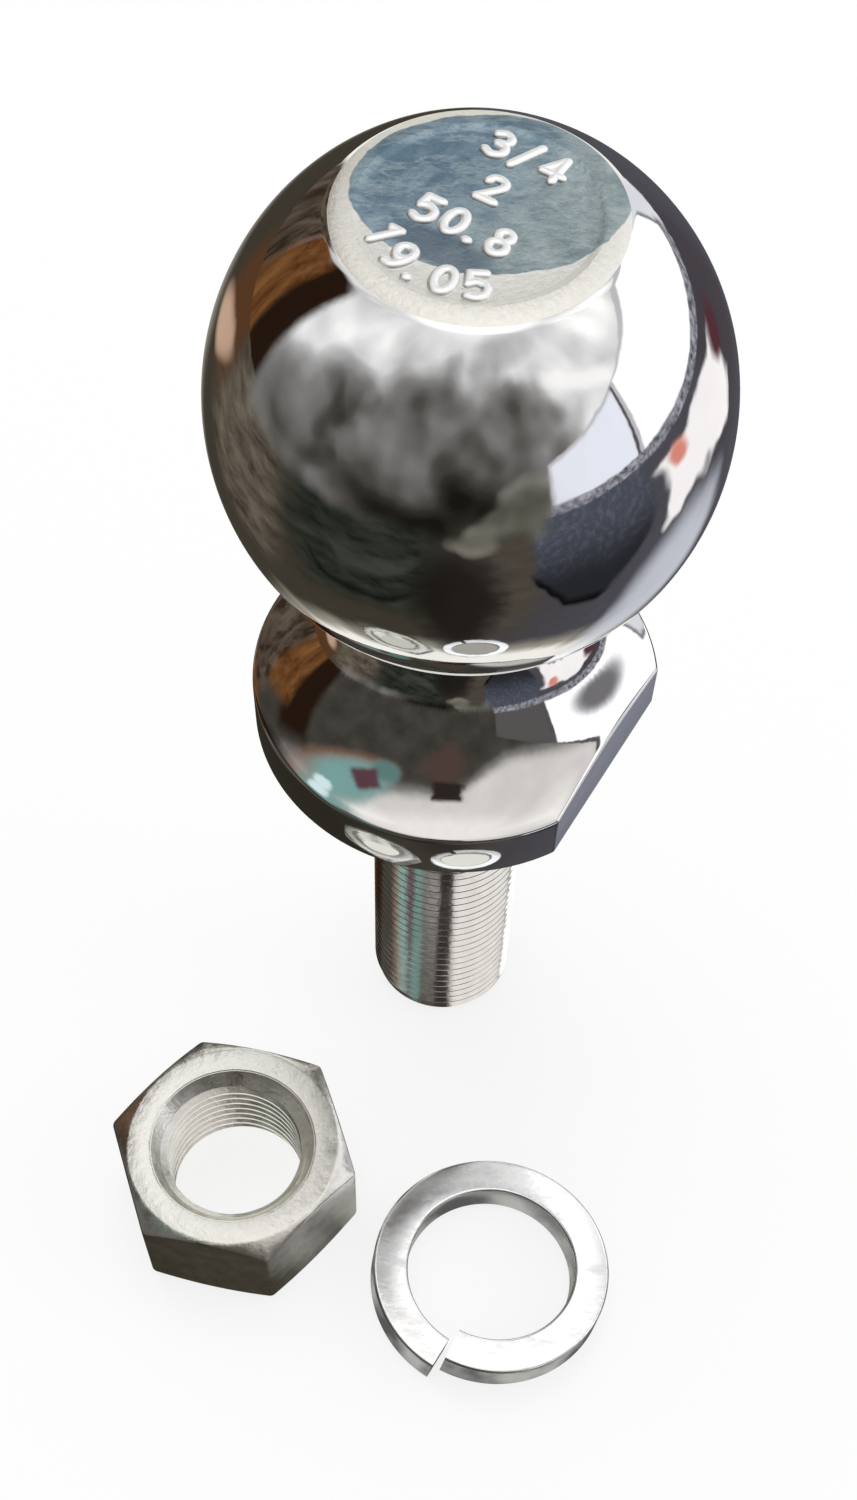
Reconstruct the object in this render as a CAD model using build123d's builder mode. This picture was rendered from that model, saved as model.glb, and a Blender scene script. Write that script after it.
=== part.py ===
"""Threaded tow ball with its hex nut and split lock washer.

The ball stud is one steel forging, turned and plated: ball, neck, flange and
threaded shank in one piece. It stands on the end of its shank. The nut and the
lock washer have been taken off and lie on the same surface beside it.

Millimetres, +Z up. The origin is the centre of the shank's end face.
"""
import os
from math import atan2, cos, degrees, pi, radians, sin, sqrt, tan

from build123d import *

# Thread: three quarters of an inch, sixteen turns to the inch
thread_diameter = 19.05
thread_pitch = 25.4 / 16
external_thread_depth = 0.6134 * thread_pitch
internal_thread_depth = 0.5413 * thread_pitch

# Shank
shank_length = 60.325
shank_end_face_inset = 0.45
shank_end_chamfer_angle = 45

# Flange that sits on the drawbar. Its top sweeps up to the neck in one hollow curve
flange_diameter = 46.4
flange_rim_height = 6.35
flange_rim_edge_break = 0.5
flange_seat_edge_break = 0.4

# Flat for a wrench, on one side of the flange
wrench_flat_depth = 3.4
wrench_flat_direction = -27.8
wrench_flat_corner_round = 0.8

# Neck and ball
neck_diameter = 20.8
neck_straight_length = 0.25
neck_head_fillet = 2.0
ball_diameter = 50.8
ball_centre_above_seat = 47.6

# Flat face on top of the ball, with a shallow bevel round it
top_flat_diameter = 22.0
top_bevel_outer_diameter = 26.0
top_bevel_angle = 9

# Hex nut
nut_across_flats = 28.2
nut_height = 16.3
nut_face_diameter = 27.2
nut_chamfer_angle = 30
nut_countersink_diameter = 21.2
nut_countersink_depth = 2.3
nut_distance_from_shank = 20.5
nut_direction_from_shank = -124.0
nut_corner_direction = -10.2

# Split lock washer, coiled to the left from square wire
washer_wire_width = 4.6
washer_wire_thickness = 4.6
washer_wire_edge_round = 0.4
washer_bore_clearance = 1.35
washer_free_rise = 4.6
washer_split_width = 1.1
washer_low_end_direction = -118.0
washer_distance_from_nut = 3.9
washer_direction_from_nut = -18.6

# Sizes worked out from those above
shank_radius = thread_diameter / 2
shank_end_face_radius = shank_radius - external_thread_depth - shank_end_face_inset
shank_end_chamfer = (shank_radius - shank_end_face_radius) * tan(radians(shank_end_chamfer_angle))
flange_radius = flange_diameter / 2
wrench_flat_from_axis = flange_radius - wrench_flat_depth
rim_top = shank_length + flange_rim_height
neck_radius = neck_diameter / 2
ball_radius = ball_diameter / 2
ball_centre = shank_length + ball_centre_above_seat
neck_head = ball_centre - sqrt(ball_radius**2 - neck_radius**2)
head_fillet_foot = ball_centre - sqrt(
    (ball_radius + neck_head_fillet) ** 2 - (neck_radius + neck_head_fillet) ** 2
)
neck_root = head_fillet_foot - neck_straight_length
sweep_width = flange_radius - neck_radius
sweep_height = neck_root - rim_top
sweep_radius = (sweep_width**2 + sweep_height**2) / (2 * sweep_width)
sweep_turn = atan2(sweep_height, sweep_radius - sweep_width)
sweep_middle = (
    neck_radius + sweep_radius * (1 - cos(sweep_turn / 2)),
    neck_root - sweep_radius * sin(sweep_turn / 2),
)
top_flat_radius = top_flat_diameter / 2
top_bevel_radius = top_bevel_outer_diameter / 2
top_bevel_base = ball_centre + sqrt(ball_radius**2 - top_bevel_radius**2)
top_flat_height = top_bevel_base + (top_bevel_radius - top_flat_radius) * tan(radians(top_bevel_angle))

nut_bore_radius = shank_radius - internal_thread_depth
nut_corner_radius = nut_across_flats / sqrt(3)
nut_corner_drop = (nut_corner_radius - nut_face_diameter / 2) * tan(radians(nut_chamfer_angle))
nut_reach = shank_radius + nut_distance_from_shank + nut_corner_radius
nut_x = nut_reach * cos(radians(nut_direction_from_shank))
nut_y = nut_reach * sin(radians(nut_direction_from_shank))

washer_inner_radius = shank_radius + washer_bore_clearance
washer_outer_radius = washer_inner_radius + washer_wire_width
washer_mean_radius = washer_inner_radius + washer_wire_width / 2
washer_split_angle = degrees(washer_split_width / washer_mean_radius)
washer_turn = 1 - washer_split_angle / 360
washer_reach = nut_corner_radius + washer_distance_from_nut + washer_outer_radius
washer_x = nut_x + washer_reach * cos(radians(washer_direction_from_nut))
washer_y = nut_y + washer_reach * sin(radians(washer_direction_from_nut))


# Ball stud: one outline turned about Z, with the wrench flat milled off one side
with BuildPart() as tow_ball:
    with BuildSketch(Plane.XZ):
        with BuildLine():
            Polyline(
                (0, ball_centre),
                (0, 0),
                (shank_end_face_radius, 0),
                (shank_radius, shank_end_chamfer),
                (shank_radius, shank_length),
                (flange_radius, shank_length),
                (flange_radius, rim_top),
            )
            ThreePointArc((flange_radius, rim_top), sweep_middle, (neck_radius, neck_root))
            Polyline((neck_radius, neck_root), (neck_radius, ball_centre), (0, ball_centre))
        make_face()
        with BuildLine():
            ThreePointArc(
                (0, ball_centre - ball_radius),
                (ball_radius, ball_centre),
                (top_bevel_radius, top_bevel_base),
            )
            Polyline(
                (top_bevel_radius, top_bevel_base),
                (top_flat_radius, top_flat_height),
                (0, top_flat_height),
                (0, ball_centre - ball_radius),
            )
        make_face()
        fillet(vertices().sort_by_distance((neck_radius, neck_head))[0], neck_head_fillet)
        breaks = {(flange_radius, rim_top): flange_rim_edge_break,
                  (flange_radius, shank_length): flange_seat_edge_break}
        for corner, length in breaks.items():
            chamfer(vertices().sort_by_distance(corner)[0], length)
    revolve(axis=Axis.Z)

    flat_plane = Plane.XY.offset(shank_length).rotated((0, 0, wrench_flat_direction))
    flat_cut_height = ball_centre_above_seat - ball_radius
    with BuildSketch(flat_plane):
        with Locations((wrench_flat_from_axis, 0)):
            Rectangle(flange_radius, flange_diameter, align=(Align.MIN, Align.CENTER))
    extrude(amount=flat_cut_height, mode=Mode.SUBTRACT)
    flat_ends = edges().filter_by(Axis.Z).filter_by_position(Axis.Z, shank_length, rim_top)
    fillet(flat_ends, wrench_flat_corner_round)
tow_ball.part.label = "tow_ball"


# Hex nut: a hexagon bar with both ends turned to a round face, bored and countersunk
with BuildPart() as hex_nut:
    with BuildSketch(Plane((nut_x, nut_y, 0))):
        RegularPolygon(nut_across_flats / 2, 6, major_radius=False, rotation=nut_corner_direction)
    extrude(amount=nut_height)
    with BuildSketch(Plane((nut_x, nut_y, 0), x_dir=(1, 0, 0), z_dir=(0, -1, 0))):
        with BuildLine():
            Polyline(
                (0, 0),
                (nut_face_diameter / 2, 0),
                (nut_corner_radius, nut_corner_drop),
                (nut_corner_radius, nut_height - nut_corner_drop),
                (nut_face_diameter / 2, nut_height),
                (0, nut_height),
                close=True,
            )
        make_face()
    revolve(axis=Axis((nut_x, nut_y, 0), (0, 0, 1)), mode=Mode.INTERSECT)
    with Locations((nut_x, nut_y, nut_height)):
        Hole(nut_bore_radius)
    mouths = edges().filter_by(lambda edge: edge.geom_type == GeomType.CIRCLE
                               and abs(edge.radius - nut_bore_radius) < 0.001)
    chamfer(mouths, nut_countersink_depth, nut_countersink_diameter / 2 - nut_bore_radius)
hex_nut.part.label = "hex_nut"


# Lock washer: square wire coiled one turn to the left, sprung open by washer_free_rise.
# It rests on the inner corner of its low end and on the rim opposite, so it leans a little.
lean_along_end = washer_free_rise / (2 * (washer_outer_radius + washer_inner_radius))
lean_across_end = washer_free_rise / (2 * pi * washer_outer_radius)
end_x = cos(radians(washer_low_end_direction))
end_y = sin(radians(washer_low_end_direction))
coil_x_axis = Vector(end_x, end_y, lean_along_end).normalized()
coil_axis = Vector(
    -lean_along_end * end_x - lean_across_end * end_y,
    -lean_along_end * end_y + lean_across_end * end_x,
    1,
).normalized()
end_contact = coil_x_axis * (washer_inner_radius + washer_wire_edge_round)
coil_centre = (washer_x, washer_y, washer_wire_thickness / 2 - end_contact.Z)
coil_plane = Plane(coil_centre, x_dir=coil_x_axis, z_dir=coil_axis)
coil = coil_plane.location * Helix(
    washer_free_rise, washer_free_rise * washer_turn, washer_mean_radius, lefthand=True
)
with BuildPart() as lock_washer:
    with BuildSketch(Plane(coil @ 0, x_dir=coil_x_axis, z_dir=coil % 0)):
        Rectangle(washer_wire_width, washer_wire_thickness)
        fillet(vertices(), washer_wire_edge_round)
    sweep(path=coil, is_frenet=True)
lock_washer.part.label = "lock_washer"


os.makedirs("parts", exist_ok=True)
export_step(tow_ball.part, "parts/tow_ball.step")
export_step(hex_nut.part, "parts/hex_nut.step")
export_step(lock_washer.part, "parts/lock_washer.step")
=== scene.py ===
from math import acos, atan, atan2, ceil, cos, hypot, pi, radians, sin, sqrt, tan

import bmesh
import bpy
import numpy as np
from mathutils import Matrix, Vector


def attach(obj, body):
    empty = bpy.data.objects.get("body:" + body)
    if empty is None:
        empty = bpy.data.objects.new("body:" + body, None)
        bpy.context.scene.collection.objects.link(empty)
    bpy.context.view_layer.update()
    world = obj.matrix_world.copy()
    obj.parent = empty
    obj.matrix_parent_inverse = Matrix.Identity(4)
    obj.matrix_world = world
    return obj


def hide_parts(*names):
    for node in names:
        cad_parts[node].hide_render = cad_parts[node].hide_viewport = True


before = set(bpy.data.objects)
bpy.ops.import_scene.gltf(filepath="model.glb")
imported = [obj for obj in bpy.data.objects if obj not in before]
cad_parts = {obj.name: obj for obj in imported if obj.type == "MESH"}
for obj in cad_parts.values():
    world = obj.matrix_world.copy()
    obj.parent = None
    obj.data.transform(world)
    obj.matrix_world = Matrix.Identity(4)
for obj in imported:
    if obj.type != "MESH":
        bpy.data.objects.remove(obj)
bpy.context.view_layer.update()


# Ball stud: ball, neck, swept flange and threaded shank, one steel forging that is
# turned, threaded and chrome plated. The top was stamped and left satin, and one side
# of the flange is milled flat for a wrench. It stands on the end of its shank.
MM = 0.001
THREAD_PITCH = 25.4 / 16
SHANK_RADIUS = 9.525
SHANK_ROOT_DEPTH = 0.6134 * THREAD_PITCH
SHANK_END_INSET = 0.45
SHANK_END_RADIUS = SHANK_RADIUS - SHANK_ROOT_DEPTH - SHANK_END_INSET
THREAD_RUN_OUT = (57.9, 59.8)
SEAT_HEIGHT = 60.325
SEAT_EDGE_BREAK = 0.4
FLANGE_RADIUS = 23.2
RIM_TOP = SEAT_HEIGHT + 6.35
RIM_EDGE_BREAK = 0.5
WRENCH_FLAT_REACH = 19.8
WRENCH_FLAT_DIRECTION = radians(-27.8)
WRENCH_FLAT_CORNER = 0.8
NECK_RADIUS = 10.4
NECK_STRAIGHT = 0.25
NECK_HEAD_FILLET = 2.0
BALL_RADIUS = 25.4
BALL_CENTRE = SEAT_HEIGHT + 47.6
BEVEL_OUTER_RADIUS = 13.0
BEVEL_INNER_RADIUS = 11.0
BEVEL_RISE = (BEVEL_OUTER_RADIUS - BEVEL_INNER_RADIUS) * tan(radians(9))
TOP_EDGE_HEIGHT = BALL_CENTRE + sqrt(BALL_RADIUS**2 - BEVEL_OUTER_RADIUS**2) + BEVEL_RISE
STAMPED_RADIUS = 10.2
STAMPED_DEPTH = 0.2


def mesh_piece(name, points, faces, finishes=(), face_finish=None, sharp=30):
    """A closed mesh from points in millimetres, with its seams joined and its normals outward."""
    mesh = bpy.data.meshes.new(name)
    mesh.from_pydata([tuple(MM * part for part in point) for point in points], [], faces)
    for finish in finishes:
        mesh.materials.append(finish)
    if face_finish is not None:
        mesh.polygons.foreach_set("material_index", face_finish)
    work = bmesh.new()
    work.from_mesh(mesh)
    bmesh.ops.remove_doubles(work, verts=work.verts, dist=2e-6)
    bmesh.ops.dissolve_degenerate(work, edges=work.edges, dist=1e-6)
    bmesh.ops.recalc_face_normals(work, faces=work.faces)
    work.to_mesh(mesh)
    work.free()
    mesh.shade_smooth()
    mesh.set_sharp_from_angle(angle=radians(sharp))
    piece = bpy.data.objects.new(name, mesh)
    bpy.context.scene.collection.objects.link(piece)
    return piece


def turned_grid(angles, rows, centre=(0, 0)):
    """Points and faces for rows of (radius, height) pairs, one pair for each angle."""
    points = []
    for row in rows:
        for angle, (radius, height) in zip(angles, row):
            points.append((centre[0] + radius * cos(angle), centre[1] + radius * sin(angle), height))
    wide = len(angles)
    faces = []
    for across in range(len(rows) - 1):
        for along in range(wide - 1):
            first = across * wide + along
            faces.append((first, first + 1, first + wide + 1, first + wide))
    return points, faces


def arc(centre, radius, start, end, steps):
    """Points on an arc in the (radius, height) plane, from one angle to another in degrees."""
    turn = np.radians(np.linspace(start, end, steps + 1))
    return [(centre[0] + radius * cos(t), centre[1] + radius * sin(t)) for t in turn]


def flange_reach(angle):
    """How far the flange's wall is from the axis: round, with the wrench flat and its rounded ends."""
    off = abs((angle - WRENCH_FLAT_DIRECTION + pi) % (2 * pi) - pi)
    ring = FLANGE_RADIUS - WRENCH_FLAT_CORNER
    flat = WRENCH_FLAT_REACH - WRENCH_FLAT_CORNER
    round_end = acos(flat / ring)
    flat_end = atan2(ring * sin(round_end), WRENCH_FLAT_REACH)
    if off < flat_end:
        return WRENCH_FLAT_REACH / cos(off)
    if off < round_end:
        lean = round_end - off
        return ring * cos(lean) + sqrt(WRENCH_FLAT_CORNER**2 - (ring * sin(lean))**2)
    return FLANGE_RADIUS


flat_half = acos((WRENCH_FLAT_REACH - WRENCH_FLAT_CORNER) / (FLANGE_RADIUS - WRENCH_FLAT_CORNER))
stud_angles = list(np.linspace(0, 2 * pi, 193))
for side in (-1, 1):
    corner = WRENCH_FLAT_DIRECTION + side * flat_half
    stud_angles += [(corner + radians(step)) % (2 * pi) for step in np.linspace(-1.2, 1.2, 9)]
stud_angles = sorted(set(round(angle, 6) for angle in stud_angles))
stud_angles[-1] = 2 * pi


def all_round(radius, height):
    """A row with the same radius and height at every angle."""
    return [(radius, height)] * len(stud_angles)


stud_rows = [all_round(0, 0), all_round(SHANK_END_RADIUS, 0)]

# One turn of the thread, as shares of the pitch and of the depth
SHANK_THREAD = [(0.0, 0.0), (0.125, 0.0), (0.479, 0.96), (0.5625, 1.0), (0.646, 0.96)]
turns = ceil(SEAT_HEIGHT / THREAD_PITCH) + 1
for turn in range(-1, turns):
    for share, depth in SHANK_THREAD:
        row = []
        for angle in stud_angles:
            height = THREAD_PITCH * (turn + share + angle / (2 * pi))
            height = min(max(height, 0), SEAT_HEIGHT)
            fade = (THREAD_RUN_OUT[1] - height) / (THREAD_RUN_OUT[1] - THREAD_RUN_OUT[0])
            fade = min(max(fade, 0), 1)
            radius = SHANK_RADIUS - depth * SHANK_ROOT_DEPTH * fade
            row.append((min(radius, SHANK_END_RADIUS + height), height))
        stud_rows.append(row)
thread_rows_end = len(stud_rows)

# Seat, wall of the flange and its rounded top edge
for inset, rise in ((SEAT_EDGE_BREAK, 0), (0.12, 0.12), (0, SEAT_EDGE_BREAK)):
    stud_rows.append([(flange_reach(a) - inset, SEAT_HEIGHT + rise) for a in stud_angles])
wall_row = len(stud_rows) - 1
head_reach = NECK_RADIUS + NECK_HEAD_FILLET
head_drop = sqrt((BALL_RADIUS + NECK_HEAD_FILLET)**2 - head_reach**2)
sweep_top = BALL_CENTRE - head_drop - NECK_STRAIGHT
sweep_width = FLANGE_RADIUS - NECK_RADIUS
sweep_radius = (sweep_width**2 + (sweep_top - RIM_TOP)**2) / (2 * sweep_width)


def sweep_turn(radius):
    """How far the hollow curve from the neck to the rim has turned outward at a radius."""
    return acos(1 - (radius - NECK_RADIUS) / sweep_radius)


for step in range(5):
    row = []
    for a in stud_angles:
        reach = flange_reach(a)
        edge_turn = sweep_turn(reach)
        edge_round = RIM_EDGE_BREAK / tan(edge_turn / 2)
        turned = edge_turn * step / 4
        row.append((reach - edge_round * (1 - cos(turned)),
                    sweep_top - sweep_radius * sin(edge_turn) - RIM_EDGE_BREAK + edge_round * sin(turned)))
    stud_rows.append(row)
rim_row = len(stud_rows) - 1

# Hollow sweep up to the neck, then the ball and the stamped top, a little lower than its edge
for step in range(1, 31):
    row = []
    for a in stud_angles:
        reach = flange_reach(a)
        turned = sweep_turn(reach - RIM_EDGE_BREAK * sin(sweep_turn(reach))) * (1 - step / 30)
        row.append((NECK_RADIUS + sweep_radius * (1 - cos(turned)), sweep_top - sweep_radius * sin(turned)))
    stud_rows.append(row)
head_turn = atan2(head_drop, head_reach) * 180 / pi
for point in arc((head_reach, BALL_CENTRE - head_drop), NECK_HEAD_FILLET, 180, 180 - head_turn, 8):
    stud_rows.append(all_round(*point))
bevel_turn = acos(BEVEL_OUTER_RADIUS / BALL_RADIUS) * 180 / pi
for point in arc((0, BALL_CENTRE), BALL_RADIUS, -head_turn, bevel_turn, 84)[1:]:
    stud_rows.append(all_round(*point))
bevel_row = len(stud_rows) - 1
stud_rows.append(all_round((BEVEL_OUTER_RADIUS + BEVEL_INNER_RADIUS) / 2,
                           TOP_EDGE_HEIGHT - BEVEL_RISE / 2))
stud_rows.append(all_round(BEVEL_INNER_RADIUS, TOP_EDGE_HEIGHT))
for share in (0.15, 0.5, 0.85, 1):
    stud_rows.append(all_round(BEVEL_INNER_RADIUS + (STAMPED_RADIUS - BEVEL_INNER_RADIUS) * share,
                               TOP_EDGE_HEIGHT - STAMPED_DEPTH * (1 - cos(pi * share)) / 2))
for radius in (8, 5, 2.5, 0):
    stud_rows.append(all_round(radius, TOP_EDGE_HEIGHT - STAMPED_DEPTH))


class Value:
    """A socket in a node tree. Arithmetic on it adds Math nodes, and node() adds any other."""

    def __init__(self, tree, socket=None):
        self.tree = tree
        self.socket = socket

    def node(self, kind, settings=None, sockets=None, output=0):
        made = self.tree.nodes.new(kind)
        for name, setting in (settings or {}).items():
            if name == "stops":
                stops = made.color_ramp.elements
                while len(stops) < len(setting):
                    stops.new(0.5)
                for stop, (position, shade) in zip(stops, setting):
                    stop.position = position
                    stop.color = (shade, shade, shade, 1) if isinstance(shade, float) else (*shade, 1)
            else:
                setattr(made, name, setting)
        for name, given in (sockets or {}).items():
            if isinstance(given, Value):
                self.tree.links.new(given.socket, made.inputs[name])
            else:
                made.inputs[name].default_value = given
        return Value(self.tree, made.outputs[output] if made.outputs else None)

    def math(self, operation, first, second):
        return self.node("ShaderNodeMath", {"operation": operation}, {0: first, 1: second})

    def __add__(self, other):
        return self.math("ADD", self, other)

    def __radd__(self, other):
        return self.math("ADD", other, self)

    def __sub__(self, other):
        return self.math("SUBTRACT", self, other)

    def __rsub__(self, other):
        return self.math("SUBTRACT", other, self)

    def __mul__(self, other):
        return self.math("MULTIPLY", self, other)

    def __rmul__(self, other):
        return self.math("MULTIPLY", other, self)


def new_finish(name):
    """An empty material, as the start of its expressions, and the place on the surface in metres."""
    finish = bpy.data.materials.new(name)
    finish.use_nodes = True
    finish.node_tree.nodes.clear()
    start = Value(finish.node_tree)
    place = start.node("ShaderNodeTexCoord", output="Object")
    return finish, start, place


def noise(place, scale, detail=3.0, roughness=0.55, stretch=None):
    """Noise from 0 to 1 over the surface, with scale in waves per metre."""
    if stretch:
        place = place.node("ShaderNodeVectorMath", {"operation": "MULTIPLY"}, {0: place, 1: stretch})
    return place.node("ShaderNodeTexNoise", {"noise_dimensions": "3D"},
                      {"Vector": place, "Scale": scale, "Detail": detail, "Roughness": roughness})


def soft(value, low, high):
    """0 up to low and 1 from high on, with a smooth rise between, or the other way round."""
    return value.node("ShaderNodeMapRange", {"interpolation_type": "SMOOTHSTEP"},
                      {"Value": value, "From Min": low, "From Max": high})


def ramp(value, *stops):
    return value.node("ShaderNodeValToRGB", {"stops": stops}, {"Fac": value})


def mix(factor, first, second):
    return factor.node("ShaderNodeMix", {"data_type": "RGBA"}, {0: factor, 6: first, 7: second}, output=2)


def bump(height, strength, distance):
    return height.node("ShaderNodeBump", {}, {"Height": height, "Strength": strength, "Distance": distance})


def oval(across, up, centre, size):
    """0 in the middle of an oval and 1 along its edge: the square of the share of the way out."""
    across = (across - centre[0]) * (1 / size[0])
    up = (up - centre[1]) * (1 / size[1])
    return across * across + up * up


def metal(start, color, roughness, normal=None):
    sockets = {"Base Color": color, "Metallic": 1.0, "Roughness": roughness}
    if normal is not None:
        sockets["Normal"] = normal
    shader = start.node("ShaderNodeBsdfPrincipled", {}, sockets)
    start.node("ShaderNodeOutputMaterial", {}, {"Surface": shader})


# Bright chrome over turned steel: a mirror with a faint haze and a slight wave
chrome, start, place = new_finish("polished_chrome")
haze = ramp(noise(place, 160, 4.0), (0.42, 0.0), (0.75, 1.0))
wave = noise(place, 55, 1.5) + 0.12 * noise(place, 420, 2.0)
metal(start, mix(haze, (0.76, 0.765, 0.775, 1), (0.72, 0.72, 0.725, 1)), 0.03 + haze * 0.04,
      bump(wave, 0.12, 0.0006))

# The thread is plated as it was rolled, a little duller than the ball
thread_chrome, start, place = new_finish("thread_chrome")
grain = noise(place, 900, 3.0)
metal(start, mix(grain, (0.99, 0.985, 0.97, 1), (0.86, 0.855, 0.84, 1)), 0.06 + grain * 0.10,
      bump(grain, 0.15, 0.0001))

# The top: forged and stamped, blue to the left and green to the right, with a bright faced
# edge that is widest in front
top_finish, start, place = new_finish("stamped_top")
x, y = [place.node("ShaderNodeSeparateXYZ", {}, {0: place}, output=axis) for axis in (0, 1)]
wander = noise(place, 260, 3.0) - 0.5
faced = soft(oval(x, y, (0.00095, 0.0026), (0.0121, 0.0097)) + wander * 0.22, 0.985, 1.02)
cloud = ramp(noise(place, 150, 6.0, 0.68), (0.40, 0.0), (0.62, 1.0))
speck = noise(place, 1800, 3.0, 0.7)
blue = soft(x - y + (noise(place, 110, 3.0) - 0.5) * 0.016, -0.006, 0.006)
vein = ramp(noise(place, 260, 5.0, 0.7, (0.7, 1.8, 1.0)), (0.43, 0.0), (0.50, 1.0), (0.57, 0.0))
stamped = mix(blue, mix(cloud, (0.11, 0.19, 0.27, 1), (0.30, 0.41, 0.48, 1)),
              mix(cloud, (0.22, 0.29, 0.31, 1), (0.50, 0.56, 0.55, 1)))
stamped = mix(vein * 0.45, stamped, (0.52, 0.60, 0.62, 1))
stamped = mix(speck * 0.5, stamped, (0.24, 0.30, 0.33, 1))

# Painted shade between the lower lines of raised numbers, which run down to the right at this slant
slant = radians(30)
along = x * cos(slant) - y * sin(slant)
across = x * sin(slant) + y * cos(slant)
painted_numbers_shade = soft(oval(along, across, (-0.0009, -0.0054), (0.0058, 0.0022)) + wander * 0.8, 1.15, 0.35)
stamped = mix(painted_numbers_shade * 0.7, stamped, (0.10, 0.14, 0.19, 1))
bright = mix(speck, (0.90, 0.88, 0.83, 1), (0.74, 0.72, 0.67, 1))
metal(start, mix(faced, stamped, bright), 0.36 + speck * 0.14,
      bump(speck + cloud * (1 - faced), 0.3, 0.0002))

# The wrench flat, milled and plated without polishing
milled_satin, start, place = new_finish("milled_satin")
lines = noise(place, 240, 3.0, 0.6, (6.0, 6.0, 0.6))
metal(start, mix(lines, (0.21, 0.22, 0.26, 1), (0.37, 0.38, 0.43, 1)), 0.34 + lines * 0.14,
      bump(lines, 0.3, 0.0002))

stud_points, stud_faces = turned_grid(stud_angles, stud_rows)
stud_finish = []
for across in range(len(stud_rows) - 1):
    for along in range(len(stud_angles) - 1):
        middle = (stud_angles[along] + stud_angles[along + 1]) / 2
        off = abs((middle - WRENCH_FLAT_DIRECTION + pi) % (2 * pi) - pi)
        if across < thread_rows_end - 1:
            stud_finish.append(1)
        elif wall_row <= across < rim_row - 3 and off < flat_half:
            stud_finish.append(3)
        elif across >= bevel_row:
            stud_finish.append(2)
        else:
            stud_finish.append(0)
ball_stud = mesh_piece("ball_stud", stud_points, stud_faces,
                       (chrome, thread_chrome, top_finish, milled_satin), stud_finish)
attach(ball_stud, "root")
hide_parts("tow_ball")


# Size numbers: raised by the stamping die on the satin top, with round strokes. They
# give the shank and the ball in inches, then both in millimetres.
STROKE_RADIUS = 0.5
STROKE_RISE = 0.3
DIGIT_HEIGHT = 3.05
DIGIT_STEP = 2.8
POINT_STEP = 0.62
NUMBER_DIRECTION = -slant
CURVE_RADIUS = 8.5
CURVE_START = 192


def ring_stroke(x, y, wide, high):
    return [(x + wide * cos(t), y + high * sin(t)) for t in np.linspace(0, 2 * pi, 25)]


def open_curve(*points):
    """A smooth run through the points, each pair divided in six."""
    padded = [points[0], *points, points[-1]]
    run = []
    for a, b, c, d in zip(padded, padded[1:], padded[2:], padded[3:]):
        for step in range(6):
            t = step / 6
            run.append(tuple(0.5 * (2 * b[k] + (c[k] - a[k]) * t
                                    + (2 * a[k] - 5 * b[k] + 4 * c[k] - d[k]) * t * t
                                    + (3 * b[k] - a[k] - 3 * c[k] + d[k]) * t**3) for k in (0, 1)))
    run.append(points[-1])
    return run


# The strokes of each digit, in a box 0.7 wide and 1 high
DIGITS = {
    "0": [ring_stroke(0.34, 0.5, 0.27, 0.44)],
    "1": [open_curve((0.14, 0.78), (0.38, 0.96)), open_curve((0.38, 0.96), (0.38, 0.04))],
    "2": [open_curve((0.08, 0.76), (0.18, 0.92), (0.38, 0.96), (0.58, 0.86), (0.58, 0.66), (0.36, 0.36),
                     (0.08, 0.05)),
          open_curve((0.08, 0.05), (0.64, 0.05))],
    "3": [open_curve((0.1, 0.86), (0.34, 0.96), (0.56, 0.84), (0.54, 0.62), (0.28, 0.53)),
          open_curve((0.28, 0.53), (0.58, 0.44), (0.6, 0.18), (0.34, 0.04), (0.08, 0.14))],
    "4": [open_curve((0.5, 0.04), (0.5, 0.96)), open_curve((0.5, 0.96), (0.06, 0.3)),
          open_curve((0.06, 0.3), (0.68, 0.3))],
    "5": [open_curve((0.58, 0.95), (0.14, 0.95)), open_curve((0.14, 0.95), (0.1, 0.56)),
          open_curve((0.1, 0.56), (0.36, 0.62), (0.6, 0.46), (0.58, 0.18), (0.34, 0.04), (0.08, 0.12))],
    "8": [ring_stroke(0.34, 0.73, 0.21, 0.21), ring_stroke(0.34, 0.28, 0.26, 0.24)],
    "9": [ring_stroke(0.34, 0.68, 0.25, 0.27),
          open_curve((0.59, 0.68), (0.56, 0.36), (0.42, 0.1), (0.18, 0.05))],
    "/": [open_curve((0.1, -0.02), (0.56, 1.02))],
    ".": [open_curve((0.2, 0.06), (0.26, 0.06))],
}


def stroke_tube(run, closed):
    """Points and faces of a flattened tube along a run, with rounded ends, half sunk in the top."""
    points = []
    for index, (x, y) in enumerate(run):
        before = run[index - 1] if index else (run[-2] if closed else run[0])
        after = run[index + 1] if index + 1 < len(run) else (run[1] if closed else run[-1])
        heading = atan2(after[1] - before[1], after[0] - before[0])
        points.append((x, y, heading, 1.0))
    if not closed:
        for end, back in ((0, -1), (-1, 1)):
            x, y, heading, _ = points[end]
            caps = []
            for t in (30, 55, 75, 88):
                reach = back * STROKE_RADIUS * sin(radians(t))
                caps.append((x + reach * cos(heading), y + reach * sin(heading), heading, cos(radians(t))))
            points = list(reversed(caps)) + points if end == 0 else points + caps
    tube = []
    for x, y, heading, share in points:
        for t in np.linspace(0, 2 * pi, 13)[:-1]:
            side = STROKE_RADIUS * share * cos(t)
            tube.append((x - side * sin(heading), y + side * cos(heading), STROKE_RISE * share * sin(t)))
    faces = []
    for ring in range(len(points) - 1):
        for k in range(12):
            a = ring * 12 + k
            b = ring * 12 + (k + 1) % 12
            faces.append((a, b, b + 12, a + 12))
    if not closed:
        faces.append(tuple(range(12)))
        faces.append(tuple(reversed(range(len(tube) - 12, len(tube)))))
    return tube, faces


number_points = []
number_faces = []


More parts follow.
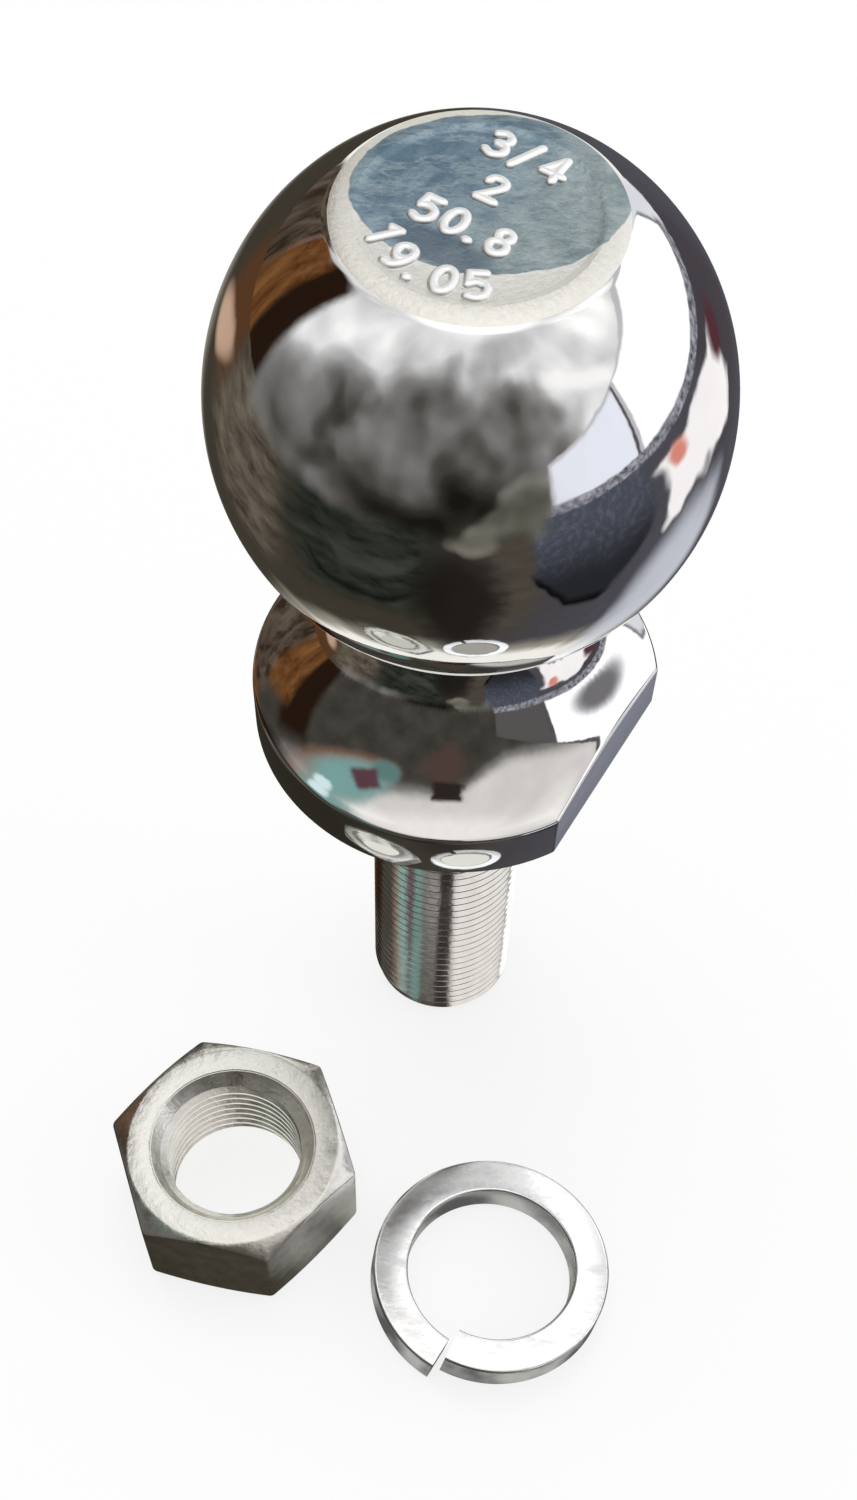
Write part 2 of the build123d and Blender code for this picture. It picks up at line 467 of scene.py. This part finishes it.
def add_digit(symbol, x, y, direction):
    """One digit with its middle at x, y on the top, and its upper side to the left of direction."""
    for run in DIGITS[symbol]:
        flat = []
        for across, up in run:
            a = (across - 0.35) * DIGIT_HEIGHT
            b = (up - 0.5) * DIGIT_HEIGHT
            flat.append((x + a * cos(direction) - b * sin(direction),
                         y + a * sin(direction) + b * cos(direction)))
        closed = hypot(flat[0][0] - flat[-1][0], flat[0][1] - flat[-1][1]) < 1e-6
        tube, faces = stroke_tube(flat, closed)
        first = len(number_points)
        number_points.extend((px, py, TOP_EDGE_HEIGHT - STAMPED_DEPTH + pz) for px, py, pz in tube)
        number_faces.extend(tuple(first + corner for corner in face) for face in faces)


for number, x, y in (("3/4", 3.9, 7.1), ("2", 1.0, 2.9), ("50.8", -1.3, -1.6)):
    steps = [POINT_STEP if symbol == "." else 1 for symbol in number]
    reach = -sum(steps) / 2
    for symbol, step in zip(number, steps):
        middle = (reach + step / 2) * DIGIT_STEP
        add_digit(symbol, x + middle * cos(NUMBER_DIRECTION), y + middle * sin(NUMBER_DIRECTION),
                  NUMBER_DIRECTION)
        reach += step
turned = radians(CURVE_START)
for symbol in "19.05":
    turned += radians(5 if symbol == "." else 9)
    add_digit(symbol, CURVE_RADIUS * cos(turned), CURVE_RADIUS * sin(turned), turned + pi / 2)
    turned += radians(7 if symbol == "." else 10)

# The strokes are brighter than the top, pressed smooth by the die
raised_bright, start, place = new_finish("raised_bright")
speck = noise(place, 1300, 2.0)
metal(start, mix(speck, (0.98, 0.98, 0.97, 1), (0.90, 0.91, 0.92, 1)), 0.38 + speck * 0.12)
size_numbers = mesh_piece("size_numbers", number_points, number_faces, (raised_bright,), sharp=50)
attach(size_numbers, "root")


# Hex nut: steel hexagon bar, faced round at both ends, bored, countersunk, tapped and
# zinc plated. It has been taken off and lies flat in front of the ball.
NUT_CENTRE = (-25.894, -38.390)
NUT_FLAT_REACH = 14.1
NUT_HEIGHT = 16.3
NUT_FACE_RADIUS = 13.6
NUT_CHAMFER = radians(30)
NUT_CORNER_DIRECTION = radians(-10.2)
NUT_CORNER_ROUND = 0.8
NUT_BORE_RADIUS = 8.666
NUT_THREAD_DEPTH = 0.87
NUT_MOUTH_RADIUS = 10.6
NUT_MOUTH_DEPTH = 2.3
NUT_EDGE_ROUND = 0.22
NUT_MOUTH_ROUND = 0.12


def nut_reach(angle):
    """How far the hexagon's wall is from the nut's axis, with its corners rounded a little."""
    off = (angle - NUT_CORNER_DIRECTION + pi / 6) % (pi / 3) - pi / 6
    from_flat = pi / 6 - abs(off)
    inner = NUT_FLAT_REACH - NUT_CORNER_ROUND
    if from_flat < atan(inner * tan(pi / 6) / NUT_FLAT_REACH):
        return NUT_FLAT_REACH / cos(from_flat)
    ring = inner / cos(pi / 6)
    return ring * cos(off) + sqrt(NUT_CORNER_ROUND**2 - (ring * sin(off))**2)


nut_angles = []
for corner in range(6):
    direction = NUT_CORNER_DIRECTION + corner * pi / 3
    nut_angles += [direction + radians(step) for step in (-3, -1.4, -0.7, -0.35, 0, 0.35, 0.7, 1.4, 3)]
    nut_angles += [direction + radians(step) for step in np.linspace(5, 55, 21)]
nut_angles = sorted(angle % (2 * pi) for angle in nut_angles)
nut_angles = [0.0, *nut_angles, 2 * pi]


def nut_side(up):
    """The nut's outside from the middle of its wall to its mouth, with up 1 for the top and -1 below."""
    end = NUT_HEIGHT if up > 0 else 0
    rows = []
    for inset, drop in ((0, 0.35), (0.05, 0.12), (0.18, 0.0)):
        row = []
        for a in nut_angles:
            reach = nut_reach(a)
            fall = (reach - inset - NUT_FACE_RADIUS) * tan(NUT_CHAMFER) + drop
            row.append((reach - inset, end - up * fall))
        rows.append(row)
    for radius, fall in ((NUT_FACE_RADIUS + NUT_EDGE_ROUND, 0.14), (NUT_FACE_RADIUS + 0.02, 0.045),
                         (NUT_FACE_RADIUS - 0.18, 0.0), (NUT_MOUTH_RADIUS + 0.28, 0.0),
                         (NUT_MOUTH_RADIUS + 0.1, 0.03), (NUT_MOUTH_RADIUS, NUT_MOUTH_ROUND)):
        rows.append([(radius, end - up * fall)] * len(nut_angles))
    return rows


# One turn of the tapped thread, downwards, as shares of the pitch and of the depth
NUT_THREAD = [(0.0, 0.0), (0.125, 0.0), (0.4375, 0.97), (0.5, 1.0), (0.5625, 0.97), (0.875, 0.0)]
nut_mouth_slope = (NUT_MOUTH_RADIUS - NUT_BORE_RADIUS) / NUT_MOUTH_DEPTH
tapped_rows = []
nut_turns = ceil(NUT_HEIGHT / THREAD_PITCH) + 1
for turn in range(nut_turns, -2, -1):
    for share, depth in reversed(NUT_THREAD):
        row = []
        for a in nut_angles:
            height = THREAD_PITCH * (turn + share + a / (2 * pi))
            height = min(max(height, NUT_MOUTH_ROUND), NUT_HEIGHT - NUT_MOUTH_ROUND)
            to_end = min(height, NUT_HEIGHT - height)
            cone = NUT_BORE_RADIUS + (NUT_MOUTH_DEPTH - to_end) * nut_mouth_slope
            row.append((max(NUT_BORE_RADIUS + depth * NUT_THREAD_DEPTH, cone), height))
        tapped_rows.append(row)
top_side = nut_side(1)
bottom_side = nut_side(-1)
nut_rows = [*reversed(bottom_side), *top_side, *tapped_rows]
nut_rows.append(nut_rows[0])

# Bright zinc with the dull, crystal mottling of barrel plating
nut_zinc, start, place = new_finish("nut_zinc_plate")
cloud = ramp(noise(place, 420, 4.0, 0.6), (0.36, 0.0), (0.66, 1.0))
speck = noise(place, 2200, 3.0)
metal(start, mix(cloud, (0.73, 0.725, 0.69, 1), (0.93, 0.925, 0.895, 1)), 0.24 + cloud * 0.12 + speck * 0.08,
      bump(speck + cloud, 0.3, 0.00012))
nut_points, nut_faces = turned_grid(nut_angles, nut_rows, NUT_CENTRE)
nut = mesh_piece("plated_nut", nut_points, nut_faces, (nut_zinc,))
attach(nut, "root")
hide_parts("hex_nut")


# Lock washer: square spring wire coiled one turn to the left, cut and zinc plated. It
# lies beside the nut, on its low end and on the rim opposite, sprung open at the split.
WIRE = 4.6
WIRE_ROUND = 0.45
COIL_INNER_RADIUS = 10.875
COIL_RADIUS = COIL_INNER_RADIUS + WIRE / 2
COIL_OUTER_RADIUS = COIL_INNER_RADIUS + WIRE
COIL_RISE = 4.6
SPLIT_WIDTH = 1.1
COIL_TURN = 1 - SPLIT_WIDTH / COIL_RADIUS / (2 * pi)
COIL_END_DIRECTION = radians(-118)
COIL_PLACE = (7.900, -49.763)
CONTACT_INSET = 0.4
STATIONS = 150
lean_along = COIL_RISE / (2 * (COIL_OUTER_RADIUS + COIL_INNER_RADIUS))
lean_across = COIL_RISE / (2 * pi * COIL_OUTER_RADIUS)
end_x = cos(COIL_END_DIRECTION)
end_y = sin(COIL_END_DIRECTION)
coil_x = Vector((end_x, end_y, lean_along)).normalized()
coil_z = Vector((-lean_along * end_x - lean_across * end_y,
                 -lean_along * end_y + lean_across * end_x, 1)).normalized()
coil_x = (coil_x - coil_z * coil_x.dot(coil_z)).normalized()
coil_y = coil_z.cross(coil_x)
coil_centre = Vector((*COIL_PLACE, WIRE / 2 - (coil_x * (COIL_INNER_RADIUS + CONTACT_INSET)).z))

section = []
for x_side, y_side, first in ((1, 1, 0), (-1, 1, 90), (-1, -1, 180), (1, -1, 270)):
    middle = (x_side * (WIRE / 2 - WIRE_ROUND), y_side * (WIRE / 2 - WIRE_ROUND))
    section += arc(middle, WIRE_ROUND, first, first + 90, 5)
washer_points = []
for station in range(STATIONS + 1):
    share = COIL_TURN * station / STATIONS
    turned = -2 * pi * share
    outward = coil_x * cos(turned) + coil_y * sin(turned)
    along = (coil_x * sin(turned) - coil_y * cos(turned)) * COIL_RADIUS * 2 * pi + coil_z * COIL_RISE
    upward = outward.cross(along.normalized())
    if upward.z < 0:
        upward = -upward
    middle = coil_centre + outward * COIL_RADIUS + coil_z * COIL_RISE * share
    for across, up in section:
        washer_points.append(tuple(middle + outward * across + upward * up))
wide = len(section)
washer_faces = []
for station in range(STATIONS):
    for k in range(wide):
        a = station * wide + k
        b = station * wide + (k + 1) % wide
        washer_faces.append((a, b, b + wide, a + wide))
washer_faces.append(tuple(range(wide)))
washer_faces.append(tuple(reversed(range(STATIONS * wide, (STATIONS + 1) * wide))))

# Brighter zinc than the nut's, with grey smears
washer_zinc, start, place = new_finish("washer_zinc_plate")
smear = ramp(noise(place, 260, 4.0, 0.65, (1.0, 2.2, 1.0)), (0.48, 0.0), (0.74, 1.0))
speck = noise(place, 1300, 2.0)
metal(start, mix(smear, (0.93, 0.945, 0.965, 1), (0.76, 0.78, 0.81, 1)), 0.16 + smear * 0.14 + speck * 0.05,
      bump(speck + smear, 0.07, 0.0001))

# Its two cut ends face each other over a narrow gap: dull, and painted dark as the shade in the gap
cut_end_painted_shade, start, place = new_finish("cut_end_painted_shade")
grain = noise(place, 900, 3.0)
metal(start, mix(grain, (0.10, 0.10, 0.10, 1), (0.24, 0.23, 0.22, 1)), 0.42 + grain * 0.2)
washer_finish = [0] * (len(washer_faces) - 2) + [1, 1]
washer = mesh_piece("plated_washer", washer_points, washer_faces, (washer_zinc, cut_end_painted_shade), washer_finish)
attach(washer, "root")
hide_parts("lock_washer")


# Studio floor: a plain pale sheet, large enough to fill every view. The camera sees it
# nearly white, with a share of its own shade and of the object's shadow.
FLOOR_REACH = 4000
FLOOR_HEIGHT = -0.01
FLOOR_WHITE = 0.8


def square(reach, height):
    """The corners of a level square round the axis."""
    return [(x * reach, y * reach, height) for x, y in ((-1, -1), (1, -1), (1, 1), (-1, 1))]


floor = mesh_piece("floor", square(FLOOR_REACH, FLOOR_HEIGHT), [(0, 1, 2, 3)])
pale, start, place = new_finish("pale_floor")
lit = start.node("ShaderNodeBsdfPrincipled", {}, {"Base Color": (0.93, 0.93, 0.93, 1), "Roughness": 0.9,
                                                  "Specular IOR Level": 0.0})
white = start.node("ShaderNodeEmission", {}, {"Color": (1, 1, 1, 1), "Strength": 1.0})
camera_sees = start.node("ShaderNodeLightPath", output="Is Camera Ray")
surface = start.node("ShaderNodeMixShader", {}, {0: camera_sees * FLOOR_WHITE, 1: lit, 2: white})
start.node("ShaderNodeOutputMaterial", {}, {"Surface": surface})
floor.data.materials.append(pale)


# Reflection cards: what the chrome sees. A dome and a bench top stand round the object as
# a photographer's cards would, glow at their own colour and are seen by metal alone.
# Places on them are in degrees, round from the front and up from the ball's middle.
EYE_HEIGHT = 0.108
DOME_RADIUS = 1.5
BENCH_REACH = 1500
BENCH_HEIGHT = 0.03
WALL_REACH = 0.022
CHROME_RETURNS = 0.76


def seen(red, green, blue):
    """The glow that the chrome shows as this colour, given from 0 to 255."""
    return tuple((part / 255)**2.2 / CHROME_RETURNS for part in (red, green, blue))


def between(factor, first, second):
    """A blend of two colours that seen() gives."""
    return mix(factor, (*first, 1), (*second, 1))


def band(value, low, high, edge):
    """1 from low to high and 0 outside, with edges of this softness."""
    return soft(value, low - edge, low + edge) * soft(value, high + edge, high - edge)


def patch(turn, rise, centre, size):
    """1 in the middle of a soft oval and 0 outside it."""
    return soft(oval(turn, rise, centre, size), 1.0, 0.15)


def directions(place):
    """Degrees round from the front, to the right, and up, seen from the middle of the ball."""
    x, y, z = [place.node("ShaderNodeSeparateXYZ", {}, {0: place}, output=axis) for axis in range(3)]
    turn = x.math("ARCTAN2", x, 0 - y) * (180 / pi)
    away = x.math("SQRT", x * x + y * y, 0.0)
    return turn, x.math("ARCTAN2", z - EYE_HEIGHT, away) * (180 / pi)


def over(color, mask, shade):
    """The colour with a shade laid over it where the mask is 1."""
    return mix(mask, color, shade if isinstance(shade, Value) else (*shade, 1))


def lumps(turn, rise, size, detail=2.0, roughness=0.5):
    """Noise around 0 whose lumps keep one size in degrees all over the room and the bench."""
    spread = turn.node("ShaderNodeCombineXYZ", {}, {0: turn, 1: rise})
    return noise(spread, 1 / size, detail, roughness) - 0.5


def grey_clouds(turn, rise):
    """The front of the room as the ball shows it: a blurred grey mass under a pale ceiling."""
    large = lumps(turn, rise, 28, 1.0, 0.4)
    small = lumps(turn + 300, rise, 15, 1.0, 0.4)
    across = turn + 26 * small
    up = rise + 40 * large
    mass = soft(oval(across, up, (-8, 17), (66, 43)), 1.15, 0.35)
    tone = 0.83 - 0.42 * mass + 0.16 * soft(rise, 66, 76)
    tone = tone - 0.2 * soft(rise, 24, -2) - 0.12 * soft(rise, 6, -8)
    tone = tone - 0.2 * patch(across, up, (-64, 30), (20, 18)) - 0.25 * patch(across, up, (-80, 8), (28, 22))
    tone = tone - 0.1 * patch(turn, rise, (0, 18), (18, 22))
    tone = tone - 0.13 * patch(turn, rise, (26, 64), (34, 9)) + 0.14 * patch(turn, rise, (100, 52), (34, 22))
    tone = tone + (large * 0.37 + small * 0.34) * soft(rise, 74, 50)
    color = ramp(tone, (0.08, seen(30, 29, 25)), (0.2, seen(52, 50, 45)), (0.3, seen(78, 75, 71)),
                 (0.5, seen(128, 126, 124)), (0.7, seen(180, 179, 178)), (0.9, seen(232, 231, 230)),
                 (1.0, seen(262, 261, 258)))
    wedge = soft(turn - rise * 0.75 + small * 16, 4, 10) * soft(turn, 36, 32)
    wedge = wedge * band(rise + large * 20, -9, 15, 5)
    pale = between(soft(rise + small * 30, -8, 14), seen(88, 88, 77), seen(150, 147, 139))
    return over(color, wedge * (0.62 + large * 1.5), pale)


def room_glow(place):
    """A pale room: bright ceiling, dark front, two windows at the right, timber at the left.

    The photograph shows the front blurred into grey clouds on the ball, but clear and dark on
    the flange and the shank. How far a ray has come tells them apart: nearer says how many
    metres closer to the dome than the middle of the ball it set out, and it is lowest for what
    lies on the bench.
    """
    turn, rise = directions(place)
    height = place.node("ShaderNodeSeparateXYZ", {}, {0: place}, output=2)
    travelled = place.node("ShaderNodeLightPath", output="Ray Length")
    nearer = DOME_RADIUS - travelled - height * (EYE_HEIGHT / DOME_RADIUS)
    from_ball = soft(nearer, 0.009, 0.012)
    from_bench = soft(nearer, -0.027, -0.034)

    # The front as the flange and the shank show it
    drift = lumps(turn, rise, 16)
    around = turn.math("ABSOLUTE", turn, 0.0)
    border = 56 - 27 * soft(turn, -5, 46)
    light = soft(rise - border, -9, 10)
    tone = 0.17 + 0.62 * light + 0.12 * soft(rise, 66, 80) + drift * (0.3 - 0.2 * light)
    tone = tone + 0.26 * soft(around, 60, 110) * soft(rise, 42, 58)
    clear = ramp(tone, (0.05, seen(46, 44, 39)), (0.25, seen(74, 71, 66)), (0.5, seen(128, 125, 122)),
                 (0.85, seen(218, 214, 210)), (1.0, seen(250, 246, 240)))
    slope = rise + (turn + 72) * 0.17
    clear = over(clear, patch(turn, slope, (-76, 52), (46, 16)), seen(130, 102, 86))
    clear = over(clear, patch(turn, slope, (-74, 55), (42, 15)), seen(118, 156, 152))
    clear = over(clear, patch(turn, rise, (-46, 46), (13, 9)), seen(92, 122, 118))
    clear = over(clear, patch(turn, rise, (-98, 60), (8, 4)), seen(205, 226, 226))
    clear = over(clear, band(turn, -71, -52, 2.5) * band(slope, 49, 61, 2.0), seen(88, 62, 68))
    clear = over(clear, patch(turn + drift * 26, rise + drift * 26, (-4, 39), (17, 23)), seen(78, 64, 59))
    clear = over(clear, band(turn + drift * 16, -14, 8, 2) * band(rise, 49, 62, 2), seen(46, 40, 38))
    color = mix(from_ball, clear, grey_clouds(turn, rise))
    streak = band(rise + (turn - 47) * 0.5, 42.5, 49.5, 2.5) * band(turn, 44, 80, 6)
    color = over(color, streak * from_ball * 0.85, seen(252, 250, 247))

    # Windows, shown dimmer by the flange than by the ball, with painted shade on the large one where the
    # flange shows it
    low = soft(rise, -0.5, 0.5)
    sash = band(turn, 33, 145, 0.6) * low * soft(rise - (turn - 34) * 0.284, 18, 17)
    color = over(color, sash, between(from_ball, seen(84, 82, 80), seen(186, 184, 186)))
    small = band(turn, 34.5, 71.5, 1.2) * low * soft(rise - (turn - 34) * 0.284, 17, 15)
    color = over(color, small, between(from_ball, seen(86, 84, 83), seen(228, 231, 240)))
    large = band(turn, 74.5, 144, 0.5) * low * soft(rise - (turn - 75) * 0.2, 29, 28)
    color = over(color, large, seen(262, 262, 264))
    # Painted shade: a grey patch on the large window that only rays from below the ball, off the flange near
    # the neck, see
    flange_window_shade = patch(turn, rise, (112, 12), (24, 12))
    color = over(color, flange_window_shade * soft(nearer, 0.0085, 0.006), seen(112, 110, 112))
    color = over(color, band(turn, 71.5, 72.8, 0.4) * soft(rise, 29, 27), seen(84, 78, 82))

    # Light walls at the right and behind, with a darker window there, and timber at the left
    color = over(color, soft(turn, 144, 146) * soft(rise, 62, 40), seen(214, 216, 220))
    wall = between(soft(rise, 36, 54), seen(238, 236, 228), seen(266, 266, 265))
    color = over(color, soft(around, 152, 160), wall)
    color = over(color, band(around, 163, 200, 2) * band(rise, 24, 43, 3), seen(56, 80, 102))
    grain = noise(place, 4.0, 3.0, 0.6, (3.0, 3.0, 0.25))
    timber = ramp(grain, (0.35, seen(50, 42, 34)), (0.65, seen(96, 84, 73)))
    color = over(color, band(turn, -158, -130, 2) * soft(rise, 44, 34), timber)
    color = over(color, band(turn, -119, -100, 3) * soft(rise, 50, 40), seen(40, 29, 22))
    post = ramp(grain, (0.3, seen(80, 50, 28)), (0.7, seen(122, 84, 52)))
    color = over(color, band(turn, -131, -115, 2.0) * soft(rise, 38, 30) * (1 - from_bench), post)

    # Foot of the room, beyond the bench
    rough = lumps(turn, rise, 2.2, 3.0, 0.7) + 0.5
    speck = ramp(rough, (0.36, seen(66, 66, 74)), (0.64, seen(166, 166, 174)))
    color = over(color, band(turn, 33, 146, 1.5) * soft(rise, 0.5, -0.5), speck)

    # Painted highlight: rays on a second bounce from low down see the room white, so the ball and the rim
    # show the nut and the washer as bright rings
    bounce = place.node("ShaderNodeLightPath", output="Ray Depth")
    return over(color, soft(bounce, 1.2, 1.8) * soft(nearer, -0.07, -0.08), seen(262, 261, 258))


def bench_glow(place):
    """A dark bench with things lying on it: cloth, slate, a board and a white sheet.

    How far a ray has come, if it set out from near the flange's wall, gives the square of the
    height that it came down from, which tells the ball from the wall.
    """
    turn, rise = directions(place)
    x, y = [place.node("ShaderNodeSeparateXYZ", {}, {0: place}, output=axis) for axis in (0, 1)]
    travelled = place.node("ShaderNodeLightPath", output="Ray Length")
    outward = x.math("SQRT", x * x + y * y, 0.0) - WALL_REACH
    drop_squared = travelled * travelled - outward * outward
    from_ball = soft(drop_squared, 0.0052, 0.0062)
    far_clouds = grey_clouds(turn, rise)
    drift = lumps(turn, rise, 22)
    turn = turn + drift * 14
    rise = rise + drift * 10
    mottle = lumps(turn, rise, 5, 3.0, 0.6) + 0.5
    streaks = lumps(turn * 0.3, rise, 4, 3.0, 0.6) + 0.5

    # Bare bench, lighter at the ball's foot than the flange's wall shows it
    color = between(soft(turn, -30, 80), seen(64, 60, 52), seen(80, 79, 86))
    color = over(color, mottle * 0.3, seen(40, 37, 31))
    color = over(color, from_ball * soft(rise, -57, -67), seen(146, 142, 130))
    color = over(color, from_ball * soft(rise, -65, -71), seen(236, 233, 224))
    color = over(color, patch(turn, rise, (100, -53), (33, 26)) * 0.85, seen(196, 199, 208))

    # Left of the middle: mottled board, an upright's foot and a pale cloth by it
    board = ramp(streaks, (0.3, seen(58, 50, 43)), (0.7, seen(112, 103, 90)))
    color = over(color, patch(turn, rise, (-97, -24), (30, 30)), board)
    color = over(color, band(turn, -140, -116, 6) * soft(rise, -30, -16), seen(84, 58, 40))
    color = over(color, patch(turn, rise + (turn + 130) * -0.35, (-130, -20), (15, 6)), seen(184, 154, 132))
    color = over(color, soft(turn, -136, -152) * band(rise, -48, -28, 6) * 0.8, seen(140, 134, 124))
    color = over(color, (1 - from_ball) * soft(turn, -20, -60) * 0.55, seen(28, 26, 23))

    # Middle: dark cloth with its folds, a dark gap and a board
    cloth = ramp(streaks, (0.3, seen(30, 34, 29)), (0.7, seen(56, 59, 52)))
    color = over(color, band(turn, -70, -9, 9) * soft(rise, -52, -38), cloth)
    fold = rise - (turn + 38) * (turn + 38) * 0.016
    color = over(color, band(fold, -43, -40, 1.6) * band(turn, -62, -18, 7) * 0.8, seen(20, 22, 19))
    color = over(color, patch(turn, fold, (-34, -28), (24, 5)) * 0.4, seen(76, 79, 70))
    color = over(color, band(turn, 10, 29, 5) * soft(rise, -60, -40),
                 between(streaks, seen(62, 56, 50), seen(84, 79, 71)))
    color = over(color, patch(turn + streaks * 8, rise, (2, -39), (22, 34)) * (0.45 + 0.4 * from_ball),
                 seen(31, 27, 24))
    color = over(color, patch(turn, rise, (4, -10), (12, 7)), seen(116, 113, 102))

    # Right: slate with a black curve along its lower edge, a painted reflection of an object, and a white
    # sheet with red on it
    slate_edge = patch(turn, rise, (51, -14), (28, 33))
    under = slate_edge.math("MINIMUM", soft(rise, -22, -30), soft(turn, 68, 56))
    color = over(color, soft(slate_edge, 0.0, 0.10) * under, seen(22, 21, 23))
    depth = soft(rise, -34, -8)
    slate = between(depth, seen(42, 43, 46), seen(72, 76, 86))
    chips = lumps(turn, rise, 2.6, 3.0, 0.7) + 0.5
    slate = over(slate, depth * soft(chips, 0.44, 0.70) * 0.34, seen(120, 124, 136))
    color = over(color, soft(slate_edge, 0.10, 0.42), slate)
    color = over(color, band(turn, 112, 152, 6) * soft(rise, -36, -24), seen(70, 66, 70))
    hem = -27 + (turn - 100) * 0.1
    sheet = band(turn + drift * 12, 79, 128, 2) * soft(rise + drift * 20 - hem, -1.5, 1.5)
    color = over(color, sheet * soft(rise, -8, -10), seen(244, 240, 238))
    color = over(color, patch(turn, rise, (89, -12), (8, 5)), seen(214, 134, 118))
    color = over(color, patch(turn, rise, (128, -13), (9, 6)), seen(84, 50, 58))
    color = over(color, band(turn, -100, 33, 5) * soft(rise, -13, -5), far_clouds)

    # Pale inside the nut and the washer
    for centre, shade in ((NUT_CENTRE, (190, 188, 178)), (COIL_PLACE, (156, 154, 146))):
        aside = x - MM * centre[0]
        ahead = y - MM * centre[1]
        pale = between(from_ball, seen(222, 220, 210), seen(*shade))
        color = over(color, soft(aside * aside + ahead * ahead, 0.00020, 0.00012), pale)

    # The nut and the washer lay where no ball stood over them, so what they would show of its
    # dark underside is pale: a ray that comes back down from the ball or the flange
    bounce = place.node("ShaderNodeLightPath", output="Ray Depth")
    in_front = x.math("MAXIMUM", soft(y, -0.015, -0.03), soft(x, 0.03, 0.05))
    from_above = x.math("MAXIMUM", in_front * from_ball, soft(y, -0.004, 0.004))
    color = over(color, soft(bounce, 1.2, 1.8) * from_above, seen(226, 224, 218))

    # What stands on the bench shows it pale right at its foot, to the right of the nut
    foot = soft(travelled, 0.034, 0.014) * soft(x, -0.018, -0.010)
    sheen = ramp(noise(place, 130, 2.0), (0.38, seen(78, 78, 76)), (0.62, seen(158, 157, 152)))
    return over(color, foot, sheen)


def card(name, points, faces, glow):
    """A stage card that only reflections see. glow makes its colour from its place."""
    piece = mesh_piece(name, points, faces)
    finish, start, place = new_finish(name + "_glow")
    sockets = {"Color": glow(place), "Strength": 1.0}
    start.node("ShaderNodeOutputMaterial", {}, {"Surface": start.node("ShaderNodeEmission", {}, sockets)})
    finish.cycles.emission_sampling = "NONE"
    piece.data.materials.append(finish)
    for rays in ("camera", "diffuse", "transmission", "volume_scatter", "shadow"):
        setattr(piece, "visible_" + rays, False)


dome_angles = np.linspace(0, 2 * pi, 97)
dome_rows = []
for up in np.linspace(0, pi / 2, 33):
    dome_rows.append([(DOME_RADIUS / MM * cos(up), DOME_RADIUS / MM * sin(up))] * len(dome_angles))
card("room", *turned_grid(dome_angles, dome_rows), room_glow)
card("bench_top", square(BENCH_REACH, BENCH_HEIGHT), [(0, 1, 2, 3)], bench_glow)


# Lamps: two large soft ones for the floor and its shadows
def lamp(name, place, aim, width, power):
    light = bpy.data.lights.new(name, "AREA")
    light.size = width
    light.energy = power
    holder = bpy.data.objects.new(name, light)
    holder.location = place
    holder.rotation_euler = (Vector(aim) - Vector(place)).to_track_quat("-Z", "Y").to_euler()
    holder.visible_glossy = False
    bpy.context.scene.collection.objects.link(holder)


lamp("lamp_above", (-0.1, 0.25, 0.9), (0, -0.02, 0.04), 0.6, 3.0)
lamp("lamp_right", (0.8, 0.0, 0.5), (0, -0.02, 0.04), 0.5, 1.5)
world = bpy.data.worlds.new("pale_room")
world.use_nodes = True
world.node_tree.nodes.clear()
sky = Value(world.node_tree)
lit = sky.node("ShaderNodeBackground", {}, {"Color": (0.95, 0.95, 0.95, 1), "Strength": 0.72})
white = sky.node("ShaderNodeBackground", {}, {"Color": (1, 1, 1, 1), "Strength": 1.0})
camera_sees = sky.node("ShaderNodeLightPath", output="Is Camera Ray")
surface = sky.node("ShaderNodeMixShader", {}, {0: camera_sees, 1: lit, 2: white})
sky.node("ShaderNodeOutputWorld", {}, {"Surface": surface})
bpy.context.scene.world = world


# Camera: close in front and well above, as the object was photographed
CAMERA_PLACE = (-1.296, -136.697, 247.037)
CAMERA_HEADING = radians(-0.036)
CAMERA_TILT = radians(90 - 63.902)
CAMERA_ROLL = radians(2.533)
camera_data = bpy.data.cameras.new("camera")
camera_data.sensor_width = 36
camera_data.lens = 46.69
camera_data.shift_y = 0.2
camera_data.clip_start = 0.01
camera = bpy.data.objects.new("camera", camera_data)
camera.matrix_world = (Matrix.Translation(Vector(CAMERA_PLACE) * MM)
                       @ Matrix.Rotation(CAMERA_HEADING, 4, "Z")
                       @ Matrix.Rotation(CAMERA_TILT, 4, "X")
                       @ Matrix.Rotation(CAMERA_ROLL, 4, "Z"))
bpy.context.scene.collection.objects.link(camera)
bpy.context.scene.camera = camera
bpy.context.scene.view_settings.view_transform = "Standard"
